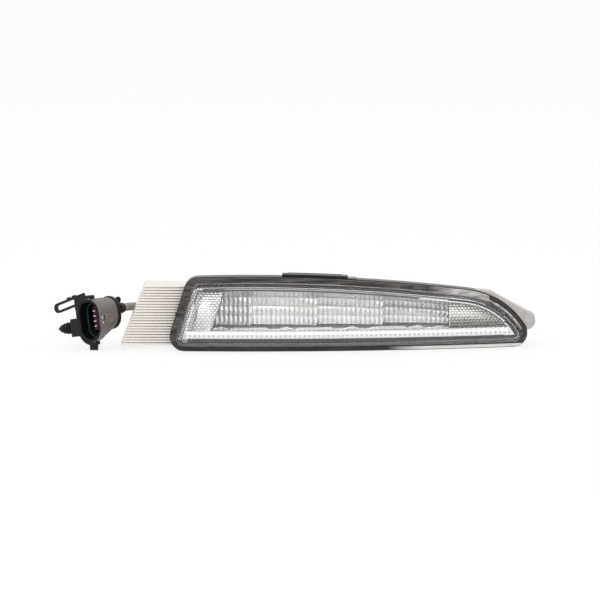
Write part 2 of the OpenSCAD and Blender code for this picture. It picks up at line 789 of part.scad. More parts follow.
// Coloured carrier at the bottom of the socket, which holds the contact pins
module terminal_carrier() {
    color("#5c1f4f") at_connector() difference() {
        translate([-3.4, 9.6, -7.2]) cube([6.8, socket_d - 9.7, 16]);
        for (i = [0:3]) translate([-1.2, 8, 0.8 + (i - 1.5) * pin_pitch - 0.5]) cube([2.4, 6, 1]);
    }
}

module terminal_pins() {
    color("#c9b0bd") at_connector() for (i = [0:3])
        translate([-1.1, 6.4, 0.8 + (i - 1.5) * pin_pitch - 0.4]) cube([2.2, 7.4, 0.8]);
}

// Ring seal round the inside of the socket
module connector_seal() {
    color("#17403f") at_connector() difference() {
        oval_block(conn_w - 2 * conn_wall - 0.2, conn_h - 2 * conn_wall - 0.2, 6.4, 8.8);
        oval_block(conn_w - 2 * conn_wall - 3.2, conn_h - 2 * conn_wall - 3.2, 6, 9.2);
    }
}

module connector_cap() {
    color("#19191a") at_connector() translate([0, 0, 3]) {
        oval_block(conn_w - 0.8, conn_h - 6.4, conn_len + 0.05, conn_len + 2);
        hull() {
            oval_block(conn_w - 2, conn_h - 8, conn_len + 1.5, conn_len + 2);
            oval_block(conn_w - 5, conn_h - 14, conn_len + 4.5, conn_len + 5);
        }
    }
}

// Collar that grips the lead where it enters the cap, with its tie eye
module lead_collar() {
    color("#222224") at_connector() translate([collar_at[0], conn_len + 5.05, collar_at[2]]) {
        rotate([-90, 0, 0]) cylinder(d = lead_d + 3.4, h = 2, $fn = 48);
        rotate([-90, 0, 0]) cylinder(d = lead_d + 1.6, h = collar_at[1] - conn_len - 5.05 - seat, $fn = 48);
        translate([0, 2.5, lead_d / 2 + 3]) rotate([0, 90, 0]) difference() {
            cylinder(d = 4.4, h = 1.6, center = true, $fn = 32);
            cylinder(d = 1.8, h = 3, center = true, $fn = 32);
        }
    }
}

// Black bracket round the shell: a cradle with a foot, a cheek for the clip and the slotted strap
module clip_bracket() {
    w = conn_w / 2 + gap;
    color("#141415") difference() {
        union() {
            at_connector() {
                intersection() {
                    oval_block(conn_w + 5, conn_h + 5, 1.5, 5.2);
                    translate([-w - 5, 0, -conn_h]) cube([w + 8, 8, conn_h * 2]);
                }
                translate([-w - tree_arm, 1.5, -10]) cube([tree_arm + 1.6, 9, 12]);
                translate([-w - 2.4, 1.5, conn_h / 2 - 7]) cube([9, 3.7, 9]);
                translate([-5.5, 1.8, conn_h / 2 + 0.6]) rotate([0, -13, 0]) strap();
            }
            translate([conn_at[0] + 0.6, conn_at[1] + 1, 0]) cube([5.6, 4.4, conn_at[2] - conn_h / 2 + 3]);
        }
        at_connector() oval_block(conn_w + 2 * gap, conn_h + 2 * gap, -2, conn_len);
    }
}

// Slotted strap that reaches out to -X, with two teeth on its upper edge
module strap() {
    difference() {
        union() {
            from_front(0, 2.6) hull() {
                translate([-strap_len, 0]) circle(d = 6.6, $fn = 40);
                translate([0, -3.3]) square([2, 6.6]);
            }
            for (x = [0.3, 0.52]) translate([-strap_len * x - 1.2, 0, 3]) cube([2.2, 2.6, 1.2]);
        }
        from_front(-1, 4) hull() for (x = [-strap_len, -5]) translate([x, 0]) circle(d = 3.4, $fn = 32);
    }
}

// Fir-tree clip: a stem with three barbed rings and a pointed tip
module fir_tree_clip() {
    r = tree_d / 2;
    x = -conn_w / 2 - gap - tree_arm - 0.05;
    color("#1a1a1b") at_connector() translate([x, 6, -4.1]) rotate([0, -90, 0]) rotate_extrude($fn = 48)
        polygon([
            [0, 0], [r * 0.9, 0], [r * 0.9, 1.2], [r * 0.5, 1.6], [r, 2.8], [r * 0.9, 3.4], [r * 0.5, 4.4],
            [r * 0.96, 5.6], [r * 0.86, 6.2], [r * 0.48, 7.2], [r * 0.84, 8.4], [r * 0.74, 9], [r * 0.4, 10],
            [r * 0.62, 10.8], [0.6, 14], [0, 14]
        ]);
}

housing();
lens();
lens_seal();
reflector();
led_board();
for (i = [0:led_count - 1]) led(i);
heat_spreader();
board_screws();
heat_sink();
sink_gasket();
sink_screws();
retaining_clip();
side_bracket();
rear_cover();
cover_seal();
cover_screws();
driver_board();
driver_coil();
driver_capacitor();
driver_chip();
inner_wires();
vent_cap();
cable_grommet();
lead();
connector_shell();
terminal_carrier();
terminal_pins();
connector_seal();
connector_cap();
lead_collar();
clip_bracket();
fir_tree_clip();
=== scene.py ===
"""Daytime running light for a car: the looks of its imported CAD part, in metres.

The lens faces -Y, X runs along the lamp and Z is up, as in the CAD. Sizes written in millimetres
are multiplied by MM. Each section below makes one piece, or a group of like pieces.
"""

import math

import bmesh
import bpy
from mathutils import Matrix, Vector


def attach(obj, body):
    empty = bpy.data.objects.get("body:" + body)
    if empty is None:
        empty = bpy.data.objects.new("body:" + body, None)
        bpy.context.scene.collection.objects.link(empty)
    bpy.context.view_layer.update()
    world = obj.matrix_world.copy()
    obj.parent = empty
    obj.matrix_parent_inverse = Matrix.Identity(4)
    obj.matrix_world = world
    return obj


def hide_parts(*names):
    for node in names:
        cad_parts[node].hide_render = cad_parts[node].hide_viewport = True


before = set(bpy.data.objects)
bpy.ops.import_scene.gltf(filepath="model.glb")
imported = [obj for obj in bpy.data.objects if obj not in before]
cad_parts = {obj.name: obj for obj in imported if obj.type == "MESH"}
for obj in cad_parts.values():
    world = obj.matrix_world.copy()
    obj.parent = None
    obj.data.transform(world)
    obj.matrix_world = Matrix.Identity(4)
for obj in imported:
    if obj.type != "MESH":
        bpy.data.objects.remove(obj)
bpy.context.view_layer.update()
MM = 0.001


# Camera and studio. A long lens looks down on the lamp by 8 degrees from straight in front; the floor
# is pale paper that runs on to the horizon, with three large soft lamps and an even white sky.

VIEW_DROP = math.radians(8)
AIM = Vector((-19, -29, 35.9)) * MM
CAMERA_AWAY = 12.0
FRAME_WIDE = 402 * MM

camera_data = bpy.data.cameras.new("camera")
camera_data.sensor_width = 36
camera_data.lens = camera_data.sensor_width * CAMERA_AWAY / FRAME_WIDE
camera = bpy.data.objects.new("camera", camera_data)
camera.location = AIM + CAMERA_AWAY * Vector((0, -math.cos(VIEW_DROP), math.sin(VIEW_DROP)))
camera.rotation_euler = (math.pi / 2 - VIEW_DROP, 0, 0)
bpy.context.scene.collection.objects.link(camera)
bpy.context.scene.camera = camera
bpy.context.scene.view_settings.view_transform = "Standard"


def linear(code):
    """An sRGB hex colour as the linear red, green, blue and alpha that shaders take."""
    parts = [int(code[i : i + 2], 16) / 255 for i in (1, 3, 5)]
    return [p / 12.92 if p <= 0.04045 else ((p + 0.055) / 1.055) ** 2.4 for p in parts] + [1]


def add(tree, kind, inputs=None, **settings):
    """Adds a shader node. Each input takes a value, or the socket that feeds it."""
    made = tree.nodes.new("ShaderNode" + kind)
    for key, value in settings.items():
        setattr(made, key, value)
    for key, value in (inputs or {}).items():
        if isinstance(value, bpy.types.NodeSocket):
            tree.links.new(value, made.inputs[key])
        else:
            made.inputs[key].default_value = value
    return made


def put(name, bm, material=None):
    """Turns a bmesh in metres into an object of the scene."""
    mesh = bpy.data.meshes.new(name)
    bm.to_mesh(mesh)
    bm.free()
    thing = bpy.data.objects.new(name, mesh)
    bpy.context.scene.collection.objects.link(thing)
    if material:
        mesh.materials.append(material)
    return thing


# Seamless background paper: matt and pale, lit by the lamps, and white where the camera, metal or
# glass looks at it, apart from the object's own soft shadow.
paper = bpy.data.materials.new("background_paper")
paper.use_nodes = True
tree = paper.node_tree
tree.nodes.clear()
rays = add(tree, "LightPath")
seen = add(tree, "Math", {0: rays.outputs["Is Camera Ray"], 1: rays.outputs["Is Glossy Ray"]}, operation="MAXIMUM")
seen = add(tree, "Math", {0: seen.outputs[0], 1: rays.outputs["Is Transmission Ray"]}, operation="MAXIMUM")
share = add(tree, "Math", {0: seen.outputs[0], 1: 0.8}, operation="MULTIPLY")
matt = add(tree, "BsdfDiffuse", {"Color": linear("#eceae8")})
glow = add(tree, "Emission", {"Color": linear("#ffffff"), "Strength": 1.0})
both = add(tree, "MixShader", {0: share.outputs[0], 1: matt.outputs[0], 2: glow.outputs[0]})
add(tree, "OutputMaterial", {"Surface": both.outputs[0]})

bm = bmesh.new()
bmesh.ops.create_circle(bm, cap_ends=True, segments=96, radius=14)
floor = put("floor", bm, paper)
floor.location.z = -0.05 * MM

sky = bpy.data.worlds.new("studio_sky")
bpy.context.scene.world = sky
sky.use_nodes = True
sky.node_tree.nodes["Background"].inputs["Color"].default_value = linear("#ffffff")
sky.node_tree.nodes["Background"].inputs["Strength"].default_value = 1.0

for name, place, wide, high, watts in (
    ("key_softbox", (-0.75, -1.0, 1.15), 0.9, 0.6, 4.5),
    ("front_softbox", (0.35, -1.6, 0.75), 1.3, 0.65, 7.5),
    ("top_softbox", (0.1, 0.55, 1.3), 1.1, 0.5, 2.5),
):
    lamp = bpy.data.lights.new(name, "AREA")
    lamp.shape = "RECTANGLE"
    lamp.size, lamp.size_y, lamp.energy = wide, high, watts
    holder = bpy.data.objects.new(name, lamp)
    holder.location = place
    holder.rotation_euler = (Vector((0, 0, 0.03)) - Vector(place)).to_track_quat("-Z", "Y").to_euler()
    bpy.context.scene.collection.objects.link(holder)


# Lead. A round sleeve of grey braid over the wires, 5.4 mm thick and 125 mm long, from the grommet in
# the rear wall to the connector's collar. It lies behind the lamp on the surface that the lamp is on.

LEAD_D = 5.4 * MM
# The lead's line from the connector to the grommet. Each point is its share of the way along LEAD_SPAN,
# which gives X, and then Y and Z in mm.
LEAD_SPAN = (-138.5, -62)
LEAD_PATH = [
    (0, 8, 25.5), (0.056, 13.5, 25.5), (0.116, 19.5, 24.9), (0.178, 26, 23),
    (0.241, 32.6, 20), (0.302, 39.1, 16.4), (0.363, 45.4, 12.6), (0.427, 51.2, 9.1),
    (0.498, 56, 6.2), (0.582, 59.4, 4.2), (0.673, 60.8, 3.1), (0.767, 59.9, 3),
    (0.854, 56.8, 4), (0.925, 51.8, 6.3), (0.975, 45.8, 9.6), (0.997, 40, 12.6),
    (1, 35.8, 13.9), (1, 32, 14),
]
lead_points = [
    Vector((LEAD_SPAN[0] + share * (LEAD_SPAN[1] - LEAD_SPAN[0]), y, z)) * MM for share, y, z in LEAD_PATH
]

line = bpy.data.curves.new("lead_line", "CURVE")
line.dimensions = "3D"
line.bevel_depth = LEAD_D / 2
line.bevel_resolution = 6
line.use_fill_caps = True
spline = line.splines.new("POLY")
spline.points.add(len(lead_points) - 1)
for point, place in zip(spline.points, lead_points):
    point.co = (*place, 1)
drawn = bpy.data.objects.new("lead_line", line)
bpy.context.scene.collection.objects.link(drawn)
bpy.context.view_layer.update()
sleeve_mesh = bpy.data.meshes.new_from_object(drawn.evaluated_get(bpy.context.evaluated_depsgraph_get()))
bpy.data.objects.remove(drawn)
lead = bpy.data.objects.new("lead_sleeve", sleeve_mesh)
bpy.context.scene.collection.objects.link(lead)
for face in sleeve_mesh.polygons:
    face.use_smooth = True

# Braided polyester sleeve, dull and grey-brown: strands 0.9 mm wide cross at 45 degrees, drawn a
# little coarser than the real ones so that they show.
STRAND = 0.9
braid = bpy.data.materials.new("braided_polyester")
braid.use_nodes = True
tree = braid.node_tree
skin = tree.nodes["Principled BSDF"]
place = add(tree, "TexCoord").outputs["Object"]
turned = add(tree, "Mapping", {"Vector": place, "Rotation": (0.6, 0.5, math.radians(45))})
weave = add(
    tree, "TexChecker",
    {
        "Vector": turned.outputs[0], "Scale": 1 / (STRAND * MM),
        "Color1": linear("#a39d97"), "Color2": linear("#77716c"),
    },
)
speck = add(tree, "TexNoise", {"Vector": place, "Scale": 1 / (1.6 * MM), "Detail": 4.0})
mixed = add(
    tree, "Mix", {0: 0.35, 6: weave.outputs[0], 7: speck.outputs["Color"]}, data_type="RGBA", blend_type="SOFT_LIGHT"
)
tree.links.new(mixed.outputs[2], skin.inputs["Base Color"])
raised = add(tree, "Bump", {"Strength": 0.5, "Distance": 0.15 * MM, "Height": weave.outputs[1]})
tree.links.new(raised.outputs[0], skin.inputs["Normal"])
skin.inputs["Roughness"].default_value = 0.7
sleeve_mesh.materials.clear()
sleeve_mesh.materials.append(braid)


# Housing. A tub of black ABS, injection-moulded in one with the rim, the channel that takes the lens, two
# rear feet and the ribs on its back. The other pieces are clipped, screwed or glued to it.


def moulded(name, shades, roughness, grain, height, patch=9, level=0.5):
    """Makes a moulded plastic or rubber from two sRGB shades; grain, height and patch are in mm, and level is
    the strength of its mirror reflection."""
    made = bpy.data.materials.new(name)
    made.use_nodes = True
    tree = made.node_tree
    skin = tree.nodes["Principled BSDF"]
    place = add(tree, "TexCoord").outputs["Object"]
    patches = add(tree, "TexNoise", {"Vector": place, "Scale": 1 / (patch * MM), "Detail": 4.0, "Roughness": 0.6})
    shade = add(tree, "Mix", {0: patches.outputs[0], 6: linear(shades[0]), 7: linear(shades[1])}, data_type="RGBA")
    tree.links.new(shade.outputs[2], skin.inputs["Base Color"])
    gloss = add(tree, "MapRange", {"Value": patches.outputs[0], 3: roughness - 0.05, 4: roughness + 0.08})
    tree.links.new(gloss.outputs[0], skin.inputs["Roughness"])
    grains = add(tree, "TexNoise", {"Vector": place, "Scale": 1 / (grain * MM), "Detail": 2.0})
    raised = add(tree, "Bump", {"Strength": 0.35, "Distance": height * MM, "Height": grains.outputs[0]})
    tree.links.new(raised.outputs[0], skin.inputs["Normal"])
    skin.inputs["IOR"].default_value = 1.5
    skin.inputs["Specular IOR Level"].default_value = level
    return made


SHARP = math.radians(32)


def softened(name, radius, material):
    """A copy of a CAD node with its triangles merged and its edges rounded by radius mm, to stand for the node;
    material is its finish."""
    bm = bmesh.new()
    bm.from_mesh(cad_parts[name].data)
    bmesh.ops.remove_doubles(bm, verts=bm.verts, dist=0.002 * MM)
    bmesh.ops.dissolve_limit(bm, angle_limit=math.radians(0.5), verts=bm.verts, edges=bm.edges)
    for face in bm.faces:
        face.smooth = True
    piece = put(name + "_skin", bm)
    piece.data.materials.clear()
    piece.data.materials.append(material)
    piece.data.set_sharp_from_angle(angle=SHARP)
    edge = piece.modifiers.new("edge", "BEVEL")
    edge.width = radius * MM
    edge.segments = 2
    edge.limit_method = "ANGLE"
    edge.angle_limit = SHARP
    edge.harden_normals = True
    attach(piece, "root")
    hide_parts(name)
    return piece


# Black ABS from a fine spark-eroded tool: satin, with soft uneven patches and a fine grain.
black_abs = moulded("black_abs_moulded", ("#151211", "#221e1d"), 0.3, 0.35, 0.03, level=0.35)
softened("housing", 0.35, black_abs)


# Front outline. The lens, its seal, the reflector and the rim all follow it: foot, leaning end, long top
# edge, nose and tip, set in by d mm. They are drawn flat and then bowed back to a radius of 700 mm.

LEFT_X, RIGHT_X, APEX_X, FRONT_Y = -109.8, 139, -52, -29
LAMP_H, TOP_R, NOSE_R, NOSE_X = 50.8, 1000, 54.5, 85.6
END_LEAN, CORNER_R, TIP_R, PLAN_R = 17.3, 9.6, 9.2, 700
LEAN = math.tan(math.radians(END_LEAN))
TOP_Z = LAMP_H - TOP_R
NOSE_TURN = math.degrees(math.asin((NOSE_X - APEX_X) / (TOP_R - NOSE_R)))
NOSE_Z = TOP_Z + (TOP_R - NOSE_R) * math.cos(math.radians(NOSE_TURN))


def end_x(z, d):
    """X of the leaning left end at a height, set in by d."""
    return LEFT_X + z * LEAN + d / math.cos(math.radians(END_LEAN))


def swept(x):
    """How far the lens front has bowed back at x."""
    return PLAN_R - math.sqrt(PLAN_R**2 - (x - APEX_X) ** 2)


def arc(centre, radius, start, end, steps):
    """Points along an arc between two angles in degrees."""
    turns = [math.radians(start + (end - start) * i / steps) for i in range(steps + 1)]
    return [(centre[0] + radius * math.cos(t), centre[1] + radius * math.sin(t)) for t in turns]


def outline(d):
    """Points of the outline set in by d, always the same number of them."""
    corner, tip = max(CORNER_R, d + 0.5), max(TIP_R, d + 0.5)
    a = end_x(0, corner) - APEX_X
    b = a * LEAN - TOP_Z
    c = a * a + TOP_Z**2 - (TOP_R - corner) ** 2
    high_z = (-b + math.sqrt(b * b - (LEAN**2 + 1) * c)) / (LEAN**2 + 1)
    low, high = (end_x(corner, corner), corner), (end_x(high_z, corner), high_z)
    toe = (NOSE_X + math.sqrt((NOSE_R - tip) ** 2 - (tip - NOSE_Z) ** 2), tip)
    head = math.degrees(math.atan2(high[1] - TOP_Z, high[0] - APEX_X))
    foot = math.degrees(math.atan2(toe[1] - NOSE_Z, toe[0] - NOSE_X))
    join = 90 - NOSE_TURN
    return (
        arc(low, corner - d, 270, 180 - END_LEAN, 10)
        + arc(high, corner - d, 180 - END_LEAN, head + 1, 8)
        + arc((APEX_X, TOP_Z), TOP_R - d, head, join + 0.5, 30)
        + arc((NOSE_X, NOSE_Z), NOSE_R - d, join, foot + 2, 22)
        + arc(toe, tip - d, foot, -90, 8)
    )


def loop(bm, d, depth):
    """A closed loop of edges on the outline set in by d, at a depth behind the flat lens front."""
    corners = [bm.verts.new((x * MM, depth * MM, z * MM)) for x, z in outline(d)]
    return [bm.edges.new((corners[i - 1], corners[i])) for i in range(len(corners))]


def lofted(rings, closed=True):
    """A band of faces through loops given as (inset, depth), joined up at its ends when closed."""
    bm = bmesh.new()
    loops = [loop(bm, d, depth) for d, depth in rings]
    for i in range(len(loops) - (0 if closed else 1)):
        bmesh.ops.bridge_loops(bm, edges=loops[i] + loops[(i + 1) % len(loops)])
    return bm


def cross_cut(bm, step=5):
    """Cuts the whole mesh across X every few mm, so that it can bow."""
    x = math.floor(LEFT_X)
    while x < RIGHT_X:
        bmesh.ops.bisect_plane(
            bm, geom=bm.verts[:] + bm.edges[:] + bm.faces[:], dist=1e-7, plane_co=(x * MM, 0, 0), plane_no=(1, 0, 0)
        )
        x += step


def inside(x, z, d):
    """Whether a point is within the outline set in by d."""
    ring = outline(d)
    crossings = 0
    for (xa, za), (xb, zb) in zip(ring, ring[1:] + ring[:1]):
        if (za > z) != (zb > z) and x < xa + (z - za) * (xb - xa) / (zb - za):
            crossings += 1
    return crossings % 2 == 1


def bowed(bm):
    """Bows a mesh drawn flat back round the lens front."""
    for v in bm.verts:
        v.co.y += (FRONT_Y + swept(v.co.x / MM)) * MM
    bmesh.ops.recalc_face_normals(bm, faces=bm.faces)
    for face in bm.faces:
        face.smooth = True
    return bm


# Catch. A small round catch of the same black ABS stands on the rim's leaning end. It is taken to hold
# the lens's border down while the sealant cures.

CATCH_Z, CATCH_D = 25.5, 5.4
CATCH_X = end_x(CATCH_Z, 0.5)
bm = bmesh.new()
bmesh.ops.create_cone(bm, cap_ends=True, segments=24, radius1=1.5 * MM, radius2=1.3 * MM, depth=3.4 * MM)
bmesh.ops.bevel(
    bm, geom=[e for e in bm.edges if all(v.co.z > 0 for v in e.verts)], offset=0.35 * MM, offset_type="OFFSET",
    segments=3, profile=0.5, affect="EDGES", material=-1,
)
bmesh.ops.transform(
    bm, verts=bm.verts,
    matrix=Matrix.Translation(Vector((CATCH_X, FRONT_Y + swept(CATCH_X) + CATCH_D, CATCH_Z)) * MM)
    @ Matrix.Rotation(math.pi / 2, 4, "X"),
)
catch = put("rim_catch", bm, black_abs)
catch.data.set_sharp_from_angle(angle=math.radians(40))
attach(catch, "root")


# Lens seal. A bead of grey polyurethane sealant, dosed by a robot into the housing's channel, that bonds
# the lens and keeps water out.


def repaint(names, material):
    """Gives CAD nodes that keep their own mesh their real finish."""
    for name in names:
        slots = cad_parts[name].data.materials
        slots.clear()
        slots.append(material)


# Cured sealant: dull and slightly wavy along the bead.
repaint(["lens_seal"], moulded("grey_polyurethane_sealant", ("#6f6a66", "#7f7a75"), 0.6, 0.9, 0.1))


# Lens. One shell of clear polycarbonate, injection-moulded: a raised face with a rounded edge, its side
# wall, which is bonded into the housing's channel, and a flat border that lies on the rim.

BORDER_W, COAT_IN = 4, 2.7
bm = lofted(
    [
        (5.4, 0), (4.6, 0.25), (4.15, 0.8), (BORDER_W, 1.6), (BORDER_W, 4.7), (3.6, 5), (COAT_IN, 5.02),
        (0.9, 5.05), (0.5, 5.4), (0.5, 6.4), (0.9, 6.8), (BORDER_W, 6.75), (BORDER_W, 12.95),
        (6.2, 13), (6.2, 3.2), (6.8, 2.4),
    ],
    closed=False,
)
bmesh.ops.holes_fill(bm, edges=[e for e in bm.edges if e.is_boundary], sides=0)
cross_cut(bm, 2)
lens = put("lens_shell", bowed(bm))

# Lens border: glossy, with dark and pale bands and long soft streaks. It is drawn as black paint on clear plastic,
# with painted highlights for the streaks and painted reflection for the pale bands over the nose and along the nose's
# foot;
# what makes the bands really can't be seen.
border_skin = moulded("black_border_with_painted_reflection", ("#0b0a09", "#141211"), 0.12, 3, 0.05, level=0.4)
tree = border_skin.node_tree
place = add(tree, "TexCoord").outputs["Object"]
drawn = add(tree, "Mapping", {"Vector": place, "Scale": (0.05, 1, 1)})
# Painted highlights: long soft streaks along X, in both the dark and the pale tone.
highlight_streaks = add(tree, "TexNoise", {"Vector": drawn.outputs[0], "Scale": 1 / (1.8 * MM), "Detail": 2.0})
highlight_streaks = add(tree, "MapRange", {"Value": highlight_streaks.outputs[0], 1: 0.36, 2: 0.66})
dark = add(tree, "Mix", {0: highlight_streaks.outputs[0], 6: linear("#1d1a19"), 7: linear("#544f4c")}, data_type="RGBA")
# The pale tone is painted reflection.
reflection_tone = add(tree, "Mix", {0: highlight_streaks.outputs[0], 6: linear("#7f7c7a"), 7: linear("#bdbbba")}, data_type="RGBA")
axes = add(tree, "SeparateXYZ", {0: place})
# Darker towards the foot; painted reflection over the nose from X 66 to 84 mm, above Z 11 to 16 mm, and on the last
# 2.9 mm of the foot from X 40 to 66 mm.
foot = add(tree, "MapRange", {"Value": axes.outputs["Z"], 1: 9 * MM, 2: 4 * MM, 4: 0.75})
dark = add(tree, "Mix", {0: foot.outputs[0], 6: dark.outputs[2], 7: linear("#0b0909")}, data_type="RGBA")
reflection_mask = add(tree, "MapRange", {"Value": axes.outputs["X"], 1: 66 * MM, 2: 84 * MM})
high = add(tree, "MapRange", {"Value": axes.outputs["Z"], 1: 11 * MM, 2: 16 * MM})
reflection_mask = add(tree, "Math", {0: reflection_mask.outputs[0], 1: high.outputs[0]}, operation="MULTIPLY")
low = add(tree, "MapRange", {"Value": axes.outputs["Z"], 1: 2.9 * MM, 2: 2.4 * MM})
foot_reflection_x = add(tree, "MapRange", {"Value": axes.outputs["X"], 1: 40 * MM, 2: 66 * MM})
low = add(tree, "Math", {0: low.outputs[0], 1: foot_reflection_x.outputs[0]}, operation="MULTIPLY")
reflection_mask = add(tree, "Math", {0: reflection_mask.outputs[0], 1: low.outputs[0]}, operation="MAXIMUM")
# Painted reflection lightens the border where the mask is set, and paler still on the foot.
border_tone = add(tree, "Mix", {0: reflection_mask.outputs[0], 6: dark.outputs[2], 7: reflection_tone.outputs[2]}, data_type="RGBA")
border_tone = add(tree, "Mix", {0: low.outputs[0], 6: border_tone.outputs[2], 7: linear("#d9d7d5")}, data_type="RGBA")
tree.links.new(border_tone.outputs[2], tree.nodes["Principled BSDF"].inputs["Base Color"])

# Clear injection-moulded polycarbonate: glossy and colourless, with a trace of the flow in its skin.
clear = bpy.data.materials.new("clear_polycarbonate")
clear.use_nodes = True
tree = clear.node_tree
skin = tree.nodes["Principled BSDF"]
skin.inputs["Base Color"].default_value = linear("#ffffff")
skin.inputs["Transmission Weight"].default_value = 1.0
skin.inputs["Roughness"].default_value = 0.0
skin.inputs["IOR"].default_value = 1.58
place = add(tree, "TexCoord").outputs["Object"]
flow = add(tree, "TexNoise", {"Vector": place, "Scale": 1 / (14 * MM), "Detail": 1.0})
flowed = add(tree, "Bump", {"Strength": 0.1, "Distance": 0.2 * MM, "Height": flow.outputs[0]})
# Beads of 1.7 mm cover a narrow band at the leaning end, over the side wall.
BEAD, BEADS_IN = 1.7, 6.4
axes = add(tree, "SeparateXYZ", {0: place})
leant = add(tree, "Math", {0: axes.outputs["Z"], 1: -LEAN, 2: axes.outputs["X"]}, operation="MULTIPLY_ADD")
across = add(tree, "Math", {0: leant.outputs[0], 1: math.pi / (BEAD * MM)}, operation="MULTIPLY")
along = add(tree, "Math", {0: axes.outputs["Z"], 1: math.pi / (BEAD * MM)}, operation="MULTIPLY")
across = add(tree, "Math", {0: across.outputs[0]}, operation="SINE")
along = add(tree, "Math", {0: along.outputs[0]}, operation="SINE")
beads = add(tree, "Math", {0: across.outputs[0], 1: along.outputs[0]}, operation="MULTIPLY")
beads = add(tree, "Math", {0: beads.outputs[0]}, operation="ABSOLUTE")
near = add(tree, "Math", {0: leant.outputs[0], 1: end_x(0, BEADS_IN) * MM}, operation="LESS_THAN")
beads = add(tree, "Math", {0: beads.outputs[0], 1: near.outputs[0]}, operation="MULTIPLY")
raised = add(
    tree, "Bump",
    {"Strength": 1.0, "Distance": 0.5 * MM, "Height": beads.outputs[0], "Normal": flowed.outputs[0]},
)
tree.links.new(raised.outputs[0], skin.inputs["Normal"])
lens.data.materials.append(clear)
lens.data.materials.append(border_skin)
# Round the nose's tip the outer part of the border is black again, drawn as a second coat.
lens.data.materials.append(moulded("second_coat_black_paint", ("#171413", "#2c2826"), 0.12, 3, 0.05))
COAT_X, COAT_Z = 108, 8
BORDER_FRONT, BORDER_BACK = 4.6, 6.9
# Faces that look forward or back are shaded flat, so that they show no false curve.
FLAT = 0.97
lens.data.set_sharp_from_angle(angle=math.radians(50))
for face in lens.data.polygons:
    x, y, z = (c / MM for c in face.center)
    behind = y - FRONT_Y - swept(x)
    face.material_index = 1 if BORDER_FRONT < behind < BORDER_BACK and not inside(x, z, BORDER_W) else 0
    if face.material_index == 1 and x > COAT_X and z > COAT_Z and not inside(x, z, COAT_IN):
        face.material_index = 2
    face.use_smooth = abs(face.normal.y) < FLAT
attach(lens, "root")
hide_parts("lens")
# The clear shell casts no shadow, so that the lamps' light reaches the reflector through it.
lens.visible_shadow = False


# Reflector. One thin moulding with a vacuum-laid aluminium skin. Four bowls over the LEDs are covered in
# small pillows. A shelf with a window for each LED and a low skirt stand before them, flat panels close
# both ends, and a thin border holds it all in the housing.

FIRST_X, CELL_W, CELLS = -96.3, 44.3, 4
BOWL_R, BOWL_CLOSE, BOWL_Z, LED_D, LED_W = 23.6, 5, 14.2, 12.4, 3.6
FLUTES, ROWS, FINE, FLUTE_H, ROW_H = 14, 4, 16, 0.5, 0.5
FLUTE_STEPS, ROW_STEPS, FLUTE_SWAY = 6, 18, 0.012
LED_SHARE, CUT_REACH = 0.52, 8
TRIM_IN, BORDER_D, PANEL_D, NOSE_D = 8.9, 5, 7, 14
REFLECTOR_IN, PANEL_EDGE, STRIP_IN, STRIP_EDGE = 13.9, 25.9, 6.4, 12.4
WALL_T, SHEET_GAP = 1.2, 0.4


def mirror_skin(
    name, pillow, height, groove_shade, shades=("#fbfaf9", "#ffffff"), rough=(0.04, 0.12), corners=False, metallic=0.6
):
    """Vacuum-laid aluminium with a relief of pillows, whose pitch along X and Z and height are in mm. Painted shade
    darkens the lines between them, or only the corners where four of them meet. Metallic stays below 1.0, because the
    relief keeps its detail and the skin its brightness that way in the render."""
    made = bpy.data.materials.new(name)
    made.use_nodes = True
    tree = made.node_tree
    skin = tree.nodes["Principled BSDF"]
    skin.inputs["Metallic"].default_value = metallic
    place = add(tree, "TexCoord").outputs["Object"]
    haze = add(tree, "TexNoise", {"Vector": place, "Scale": 1 / (5 * MM), "Detail": 4.0})
    axes = add(tree, "SeparateXYZ", {0: place})
    row = add(tree, "Math", {0: axes.outputs["Z"], 1: 1 / (pillow[1] * MM)}, operation="MULTIPLY")
    odd = add(tree, "Math", {0: row.outputs[0]}, operation="FLOOR")
    column = add(tree, "Math", {0: axes.outputs["X"], 1: 1 / (pillow[0] * MM)}, operation="MULTIPLY")
    stagger = 0.0 if corners else 0.5
    column = add(tree, "Math", {0: odd.outputs[0], 1: stagger, 2: column.outputs[0]}, operation="MULTIPLY_ADD")
    waves = []
    for count in (row, column):
        wave = add(tree, "Math", {0: count.outputs[0], 1: math.pi}, operation="MULTIPLY")
        wave = add(tree, "Math", {0: wave.outputs[0]}, operation="SINE")
        waves.append(add(tree, "Math", {0: wave.outputs[0]}, operation="ABSOLUTE").outputs[0])
    crown = add(tree, "Math", {0: waves[0], 1: waves[1]}, operation="MULTIPLY")
    tone = add(tree, "Mix", {0: haze.outputs[0], 6: linear(shades[0]), 7: linear(shades[1])}, data_type="RGBA")
    flank = add(tree, "Math", {0: waves[0], 1: waves[1]}, operation="MAXIMUM") if corners else crown
    rise = add(tree, "MapRange", {"Value": flank.outputs[0], 2: 0.7 if corners else 0.4})
    # Painted shade in the grooves between the pillows.
    tone = add(tree, "Mix", {0: rise.outputs[0], 6: linear(groove_shade), 7: tone.outputs[2]}, data_type="RGBA")
    tree.links.new(tone.outputs[2], skin.inputs["Base Color"])
    gloss = add(tree, "MapRange", {"Value": haze.outputs[0], 3: rough[0], 4: rough[1]})
    tree.links.new(gloss.outputs[0], skin.inputs["Roughness"])
    raised = add(tree, "Bump", {"Strength": 1.0, "Distance": height * MM, "Height": crown.outputs[0]})
    tree.links.new(raised.outputs[0], skin.inputs["Normal"])
    return made


def ceiling(x):
    """Height of the reflector's top edge at x."""
    return TOP_Z + math.sqrt((TOP_R - TRIM_IN - 0.4) ** 2 - (x - APEX_X) ** 2)


def cell_axis(i):
    """Y of the line through a cell's LED."""
    return FRONT_Y + swept(FIRST_X + (i + 0.5) * CELL_W) + LED_D


def turn_faces(bm, axis, way):
    """Turns a sheet over where most of it looks the wrong way along an axis."""
    if way * sum(face.normal[axis] for face in bm.faces) < 0:
        bmesh.ops.reverse_faces(bm, faces=bm.faces)


